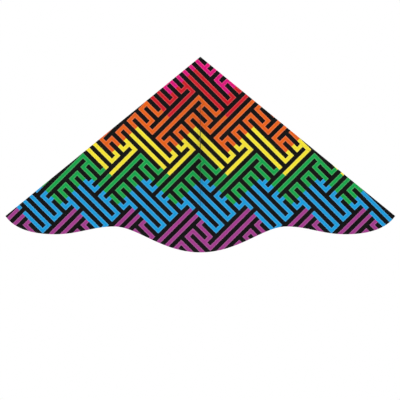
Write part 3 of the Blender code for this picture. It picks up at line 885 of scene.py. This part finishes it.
def window_patch(side):
    """Reinforcement on the back of the sail beside the sleeve's window."""
    label, back = LABEL[side], behind_of(side)
    (start, end), (near, far), _ = along_edge("spreader_patch_" + label)
    corner, inset = 3 * MM, 1.8 * MM
    columns, rows = 20, 8

    def eased(step, count, low, high):
        """Closer steps at both ends, so that the corners can be rounded."""
        share = 0.5 - 0.5 * math.cos(math.pi * step / count)
        return low + (high - low) * share

    def flat(column, row):
        spot = Vector((eased(column, columns, start, end), eased(row, rows, near, far)))
        across = min(max(spot.x, start + corner), end - corner)
        centre = Vector((across, min(max(spot.y, near + corner), far - corner)))
        away = spot - centre
        reach = max(abs(away.x), abs(away.y))
        return centre + away.normalized() * reach if away.length > 0 else spot

    def hung(spot, behind):
        uncut = EDGE_WAY * spot.x + EDGE_IN * spot.y
        return on_sail(side * uncut.x, -uncut.y, behind)

    def place(column, row):
        return hung(flat(column, row), HEM_LAYER)

    item = cloth("window_patch_" + label, columns, rows, place, flat, TAPE, back, (KEEL_CLOTH,))
    settle(item, label + "_wing", "tape", "spreader_patch_" + label)
    low, high, inner, outer = start + inset, end - inset, near + inset, far - inset
    ring = [Vector(spot) for spot in ((low, inner), (high, inner), (high, outer), (low, outer), (low, inner))]
    seams = [
        ([hung(one.lerp(two, share / 4), behind) for share in range(5)], back)
        for behind in (ON_FACE, on_top(HEM_LAYER, TAPE)) for one, two in zip(ring, ring[1:])
    ]
    stitching("patch_stitches_" + label, label + "_wing", seams)


# --- Spine ---

def hat_profile(back, foot, layer):
    """Section of a sleeve sewn down on both sides of the spine rod, from +x to -x.

    back is how far behind the sail it bulges, and foot how far out it comes down to its flanges.
    """
    arch, steps = [], 14
    for step in range(steps + 1):
        x = foot * math.cos(math.pi * step / steps)
        share = max(1 - abs(x / foot) ** 2.6, 0)
        arch.append((x, layer + (back - layer) * share**0.62))
    edge, lip = layer - 0.1 * MM, SPINE_FLANGE - 0.4 * MM
    return [(SPINE_FLANGE, edge), (lip, layer), *arch, (-lip, layer), (-SPINE_FLANGE, edge)]


def on_spine(height, across, behind):
    return Vector((across, SAIL_Y + behind, height))


def spine():
    """The tape sleeve over the spine rod, its webbing pockets at nose and tail, and all their stitches."""
    behind = Vector((0, 1, 0))
    low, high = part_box("spine_sleeve")
    item = pocket(
        "spine_tape_sleeve", rows_between(low.z, high.z, 100),
        hat_profile(back=6.6 * MM, foot=6.4 * MM, layer=SLEEVE_LAYER),
        on_spine, TAPE, behind, (BLACK_TAPE,), loose=0.5 * MM,
    )
    settle(item, "spine", "tape", "spine_sleeve")

    def seam(first, last, level):
        return [on_spine(*first, level), on_spine(*last, level)], behind

    seams = [
        seam((low.z + 1 * MM, x), (high.z - 1 * MM, x), level)
        for x in (-SPINE_SEAM, SPINE_SEAM) for level in (ON_FACE, on_top(SLEEVE_LAYER, TAPE))
    ]
    on_webbing = on_top(POCKET_LAYER, WEBBING)
    for end, up in (("nose", 1), ("tail", -1)):
        low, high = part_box(end + "_pocket")
        mouth, shut = (low.z, high.z) if up > 0 else (high.z, low.z)
        item = pocket(
            f"webbing_{end}_pocket", rows_between(mouth, shut, 10, True),
            hat_profile(back=7.1 * MM, foot=6.9 * MM, layer=POCKET_LAYER),
            on_spine, WEBBING, behind, (BLACK_WEBBING,), shut=POCKET_LAYER,
        )
        settle(item, "spine", "webbing", end + "_pocket")
        across = shut - up * END_SEAM
        seams.append(seam((across, -8 * MM), (across, 8 * MM), on_webbing))
        tack = mouth + up * 1.1 * MM
        for x in (-SPINE_SEAM, SPINE_SEAM):
            seams.append(seam((mouth + up * 1 * MM, x), (shut - up * PRESS_FLAT, x), on_webbing))
            for offset in bar_tack(4):
                seams.append(seam((tack, x + offset), (tack + up * STITCH, x + offset), on_webbing))
    stitching("spine_stitches", "spine", seams)


# --- Rods and end caps ---

ROD_BODIES = {
    "spine_rod": "spine", "leading_rod_left": "left_wing", "leading_rod_right": "right_wing",
    "spreader_rod": "spreader",
}
CAP_RODS = {
    "spine_cap_nose": "spine_rod", "spine_cap_tail": "spine_rod",
    "leading_cap_left": "leading_rod_left", "wingtip_cap_left": "leading_rod_left",
    "leading_cap_right": "leading_rod_right", "wingtip_cap_right": "leading_rod_right",
}


def rods():
    for node, body in ROD_BODIES.items():
        top, bottom, radius = axis_ends(node)
        item = round_bar("glass_fibre_" + node, top, bottom, radius, ROD)
        settle(item, body, "rod", node)


def edit_faces(item, way):
    """Opens edit mode with the faces that look one way selected, and nothing else."""
    select_only(item)
    bpy.ops.object.mode_set(mode="EDIT")
    bpy.ops.mesh.select_mode(type="FACE")
    bpy.ops.mesh.select_all(action="DESELECT")
    bpy.ops.object.mode_set(mode="OBJECT")
    for face in item.data.polygons:
        face.select = face.normal.dot(way) > 0.9
    bpy.ops.object.mode_set(mode="EDIT")


def end_cap(node, rod_node):
    """A dipped vinyl cup: a rounded shut end, and an open mouth with a thin lip."""
    high, low, radius = axis_ends(node)
    rod_high, rod_low, _ = axis_ends(rod_node)
    middle = (rod_high + rod_low) / 2
    tip, mouth = (high, low) if (high - middle).length > (low - middle).length else (low, high)
    way = (tip - mouth).normalized()
    item = add_cylinder("vinyl_" + node, mouth, tip, radius, 28)
    edit_faces(item, -way)
    bpy.ops.mesh.inset(thickness=CAP_WALL)
    bore = way * ((tip - mouth).length - CAP_FLOOR)
    bpy.ops.mesh.extrude_region_move(TRANSFORM_OT_translate={"value": bore})
    bpy.ops.object.mode_set(mode="OBJECT")
    edit_faces(item, way)
    bpy.ops.mesh.bevel(offset=0.9 * MM, segments=4, affect="EDGES")
    bpy.ops.object.mode_set(mode="OBJECT")
    round_edges(item, 0.2 * MM, 2, 60)
    wear(item, VINYL)
    smooth(item)
    settle(item, ROD_BODIES[rod_node], "vinyl", node)


# --- Spreader clips ---

def clip(side):
    """A moulded channel on the leading rod with a socket for the spreader rod and a lip at its mouth."""
    node = "spreader_clip_" + LABEL[side]
    spreader_end, _, spreader_radius = axis_ends("spreader_rod")
    half, wall = ROD_RADIUS + 0.6 * MM, 1.4 * MM
    start, end = SPREADER_ALONG - 8 * MM, SPREADER_ALONG + 8 * MM
    front = along_edge(node)[2][0]
    body = edge_block(
        "channel_clip_" + LABEL[side], side, (start, end), (ROD_INSET - half - wall, ROD_INSET + half + wall),
        (front, ROD_BEHIND + ROD_RADIUS + 4.2 * MM), 0.9 * MM,
    )
    rod_axis = on_edge(side, SPREADER_ALONG, ROD_INSET, ROD_BEHIND)
    centre = Vector((rod_axis.x, spreader_end.y, spreader_end.z))
    inward = Vector((-side, 0, 0))
    bore = spreader_radius + 0.3 * MM
    outer, floor = bore + 1.5 * MM, 8.7 * MM
    lip, proud = 2.4 * MM, 0.45 * MM
    low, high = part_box(node)
    reach = abs((low.x if side > 0 else high.x) - centre.x)
    mouth = centre + inward * reach
    cut(body, round_bar("socket", centre, mouth, outer, NYLON, 0.5 * MM), "UNION")
    cut(body, round_bar("lip", mouth - inward * lip, mouth, outer + proud, NYLON), "UNION")
    past = 20 * MM  # the rod's slot is cut well past both ends and the open front
    slot = edge_block(
        "slot", side, (start - past, end + past), (ROD_INSET - half, ROD_INSET + half),
        (-5 * MM, ROD_BEHIND + half), 0.8 * MM,
    )
    cut(body, slot)
    cut(body, round_bar("bore", centre + inward * floor, centre + inward * 2 * reach, bore, NYLON))
    smooth(body, 35)
    settle(body, "spreader", "clip", node)


# --- Keel ---

KEEL_LOW, KEEL_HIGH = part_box("keel_panel")
KEEL_CORNER = -KEEL_LOW.y
KEEL_TOP = Vector((KEEL_ROOT_Y, KEEL_HIGH.z))
KEEL_BOTTOM = Vector((KEEL_ROOT_Y, KEEL_LOW.z))
KEEL_HEM = 4 * MM
KEEL_HOLE = 5 * MM
EYELET_HOLE = 4 * MM


def keel_corner(radius, steps=40):
    """The keel's front corner as (y, z) about the tow eyelet, from its upper to its lower edge."""
    start = math.atan2(KEEL_TOP.y, KEEL_TOP.x) + math.acos(KEEL_CORNER / KEEL_TOP.length)
    end = math.tau + math.atan2(KEEL_BOTTOM.y, KEEL_BOTTOM.x) - math.acos(KEEL_CORNER / KEEL_BOTTOM.length)
    angles = [start + (end - start) * step / steps for step in range(steps + 1)]
    return [radius * Vector((math.cos(angle), math.sin(angle))) for angle in angles]


UPPER_WAY = (KEEL_TOP - keel_corner(KEEL_CORNER)[0]).normalized()
LOWER_WAY = (KEEL_BOTTOM - keel_corner(KEEL_CORNER)[-1]).normalized()


def cut_keel_hole(item):
    across = Vector((20 * MM, 0, 0))
    cut(item, round_bar("hole", -across, across, KEEL_HOLE, KEEL_CLOTH, 0.1 * MM))
    smooth(item, 50)


def keel_panel():
    edge = [KEEL_TOP, *keel_corner(KEEL_CORNER), KEEL_BOTTOM][::-1]
    edge_y, edge_z = np.array(edge).T
    corner_z = [point.y for point in keel_corner(KEEL_CORNER, 24)]
    levels = sorted({*np.linspace(KEEL_BOTTOM.y, KEEL_TOP.y, 70).tolist(), *corner_z})
    root = SAIL_Y - CLOTH / 2
    shares = [0, 0.012, 0.03, *[step / 24 for step in range(2, 25)]]  # closer at the seam, where it bends

    def flat(column, row):
        z = levels[column]
        front = min(float(np.interp(z, edge_z, edge_y)), root - 0.5 * MM)
        return root + (front - root) * shares[row], z

    def place(column, row):
        return Vector((0, *flat(column, row)))

    item = cloth(
        "keel_sheet", len(levels) - 1, len(shares) - 1, place, flat, CLOTH, Vector((1, 0, 0)), (KEEL_CLOTH,)
    )
    cut_keel_hole(item)
    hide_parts("keel_panel")
    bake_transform(item)
    return item


def keel_hem():
    """Grosgrain tape folded over the keel's free edge."""
    corner, straight = keel_corner(KEEL_CORNER), 24
    start, end = KEEL_TOP - UPPER_WAY * 7 * MM, KEEL_BOTTOM - LOWER_WAY * 7 * MM
    path = [start.lerp(corner[0], step / straight) for step in range(straight)]
    path += corner + [corner[-1].lerp(end, (step + 1) / straight) for step in range(straight)]
    inward = [-corner[0].normalized()] * straight + [-point.normalized() for point in corner]
    inward += [-corner[-1].normalized()] * straight
    half = 0.30 * MM
    front = [(KEEL_HEM, half), (KEEL_HEM / 2, half + 0.02 * MM), (0, half), (-half * 0.8, half * 0.7)]
    profile = [*front, (-half, 0), *[(inset, -across) for inset, across in reversed(front)]]
    lengths = run_lengths(path)

    def place(column, row):
        inset, across = profile[row]
        return Vector((across, *(path[column] + inward[column] * inset)))

    def flat(column, row):
        return row * MM, lengths[column]

    item = cloth(
        "keel_binding", len(path) - 1, len(profile) - 1, place, flat, BINDING, Vector((0, 0, -1)),
        (BLACK_TAPE,),
    )
    settle(item, "keel", "tape", "keel_hem")
    line = [spot + way * (KEEL_HEM - 1 * MM) for spot, way in zip(path, inward)]
    seams = [keel_seam(line, side, half + BINDING / 2) for side in (-1, 1)]
    stitching("keel_stitches", "keel", seams, KEEL_PITCH)


def keel_seam(line, side, lift):
    return [(side * lift, *spot) for spot in line], Vector((side, 0, 0))


def keel_patch(side):
    """Reinforcement round the eyelet on one side of the keel."""
    label = LABEL[side]
    inner = KEEL_CORNER - KEEL_HEM - 0.3 * MM
    reach, inset, layer = 38 * MM, 2 * MM, 0.6 * MM
    corner = keel_corner(inner, 28)
    outline = [corner[0] + UPPER_WAY * reach, *corner, corner[-1] + LOWER_WAY * reach]
    bpy.ops.mesh.primitive_circle_add(vertices=len(outline), radius=1, fill_type="NGON")
    item = name_new("keel_corner_patch_" + label)
    for vert, spot in zip(item.data.vertices, outline):
        vert.co = (side * layer, *spot)
    flat = item.data.uv_layers[0]
    flat.name = "flat"
    for loop in item.data.loops:
        flat.data[loop.index].uv = outline[loop.vertex_index]
    modify(item, "SOLIDIFY", thickness=TAPE, offset=0)
    wear(item, KEEL_CLOTH)
    cut_keel_hole(item)
    settle(item, "keel", "tape", "keel_patch_" + label)
    ring = keel_corner(inner - inset, 16)
    ring = [ring[0] + UPPER_WAY * (reach - inset), *ring, ring[-1] + LOWER_WAY * (reach - inset)]
    seams = [keel_seam([*ring, ring[0]], side, on_top(layer, TAPE))]
    stitching("keel_patch_stitches_" + label, "keel", seams, KEEL_PITCH)


def spun(name, profile, node):
    """A closed section of (radius, x) spun about the eyelet's axis."""
    bpy.ops.mesh.primitive_circle_add(vertices=len(profile), radius=1 * MM)
    item = name_new(name)
    for vert, (radius, x) in zip(item.data.vertices, profile):
        vert.co = (x, radius, 0)
    bpy.ops.object.mode_set(mode="EDIT")
    bpy.ops.mesh.select_all(action="SELECT")
    bpy.ops.mesh.spin(steps=48, angle=math.tau, center=(0, 0, 0), axis=(1, 0, 0))
    bpy.ops.mesh.select_all(action="SELECT")
    bpy.ops.mesh.remove_doubles(threshold=1e-6)
    bpy.ops.mesh.normals_make_consistent(inside=False)
    bpy.ops.object.mode_set(mode="OBJECT")
    wear(item, NICKEL)
    smooth(item, 30)
    settle(item, "keel", "eyelet", node)


def half_round(middle, reach, seat, rise):
    """The domed side of a rolled edge as (radius, x), from its inner to its outer foot."""
    steps = 8
    angles = [math.pi * step / steps for step in range(steps + 1)]
    return [(middle - reach * math.cos(angle), seat + rise * math.sin(angle) ** 0.6) for angle in angles]


def eyelet():
    """Set through the keel: a domed flange on one side, and a lip rolled over a washer on the other."""
    low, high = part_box("tow_eyelet")
    flange, barrel, rolled, thick = 7 * MM, 4.7 * MM, 6.3 * MM, 0.65 * MM
    seat, foot = high.x - thick, low.x + thick
    dome = half_round((EYELET_HOLE + flange) / 2, (flange - EYELET_HOLE) / 2, seat, thick)
    lip = half_round((EYELET_HOLE + rolled) / 2, (rolled - EYELET_HOLE) / 2, foot, -thick)
    under = seat - 0.05 * MM
    section = [*dome, (flange, under), (barrel, under), (barrel, foot), *lip[::-1]]
    spun("eyelet_barrel", section, "tow_eyelet")
    low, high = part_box("eyelet_washer")
    inner, outer, edge = 5 * MM, 7 * MM, 0.15 * MM
    washer = [
        (inner, high.x), (inner, low.x + edge), (inner + edge, low.x), (outer - edge, low.x),
        (outer, low.x + edge), (outer, high.x),
    ]
    spun("eyelet_ring", washer, "eyelet_washer")


# --- Build ---

for side in (-1, 1):
    panel, area = sail(side)
    fold = hem(side)
    leading_sleeve(side)
    tip_pocket(side)
    edge_stitches(side)
    window_patch(side)
    clip(side)
    keel_patch(side)
spine()
rods()
for cap_node, cap_rod in CAP_RODS.items():
    end_cap(cap_node, cap_rod)
keel_sheet = keel_panel()
keel_hem()
eyelet()


# --- Camera, light and floor ---

LAMPS = (  # name, place, width, height, power in watts: each is turned to the tow point
    ("front_strip", (0, -8.0, 0.75), 0.4, 1.8, 372), ("overhead", (0, 0.15, 5.5), 3, 3, 150),
    ("left_strip", (-6, 0.7, 1.0), 0.8, 2.4, 100), ("right_strip", (6, 0.7, 1.0), 0.8, 2.4, 100),
    ("back_left", (-3.5, 6.5, 2.5), 2, 2, 230), ("back_right", (4.0, 6.5, 1.2), 2, 2, 120),
)
CAMERA_DISTANCE = 10.0
CAMERA_X = -1.1 * MM
VIEW_WIDTH = 1.431  # at the sail
VIEW_DROP = 0.5127  # from the nose to the middle of the view


def studio():
    scene = bpy.context.scene
    camera = bpy.data.cameras.new("camera")
    camera.lens = camera.sensor_width * CAMERA_DISTANCE / VIEW_WIDTH
    scene.camera = put(camera, (CAMERA_X, SAIL_Y - CAMERA_DISTANCE, NOSE_Z - VIEW_DROP))
    scene.camera.rotation_euler = (math.pi / 2, 0, 0)
    scene.world = bpy.data.worlds.new("studio")
    scene.world.use_nodes = True
    tree = scene.world.node_tree
    # The background is plain white to the camera and dimmer as a light, so that the lamps give the shape.
    seen = add(tree, "LightPath").outputs["Is Camera Ray"]
    strength = add(tree, "MapRange", [seen, 0, 1, 0.14, 1.0])
    feed(tree, tree.nodes["Background"], {"Color": (1, 1, 1, 1), "Strength": strength})
    for name, place, width, height, power in LAMPS:
        light = bpy.data.lights.new(name, "AREA")
        light.shape = "RECTANGLE"
        light.size, light.size_y = width, height
        light.energy = power
        put(light, place).rotation_euler = (-Vector(place)).to_track_quat("-Z", "Y").to_euler()


def studio_floor():
    """Matt pale floor paint, with only a faint unevenness."""
    bpy.ops.mesh.primitive_cylinder_add(vertices=96, radius=7.5, depth=0.04, location=(0, 0, -1.62))
    floor = name_new("studio_floor")
    material, tree, shader = new_material("matt_floor_paint", 0.8)
    place = add(tree, "TexCoord").outputs["Object"]
    cloud = add(tree, "TexNoise", {"Vector": place, "Scale": 3, "Detail": 3})
    clouded = {0: cloud, 6: colour("E6E5E2"), 7: colour("EBEAE8")}
    shade = add(tree, "Mix", clouded, data_type="RGBA").outputs[2]
    feed(tree, shader, {"Base Color": shade})
    wear(floor, material)


studio()
studio_floor()
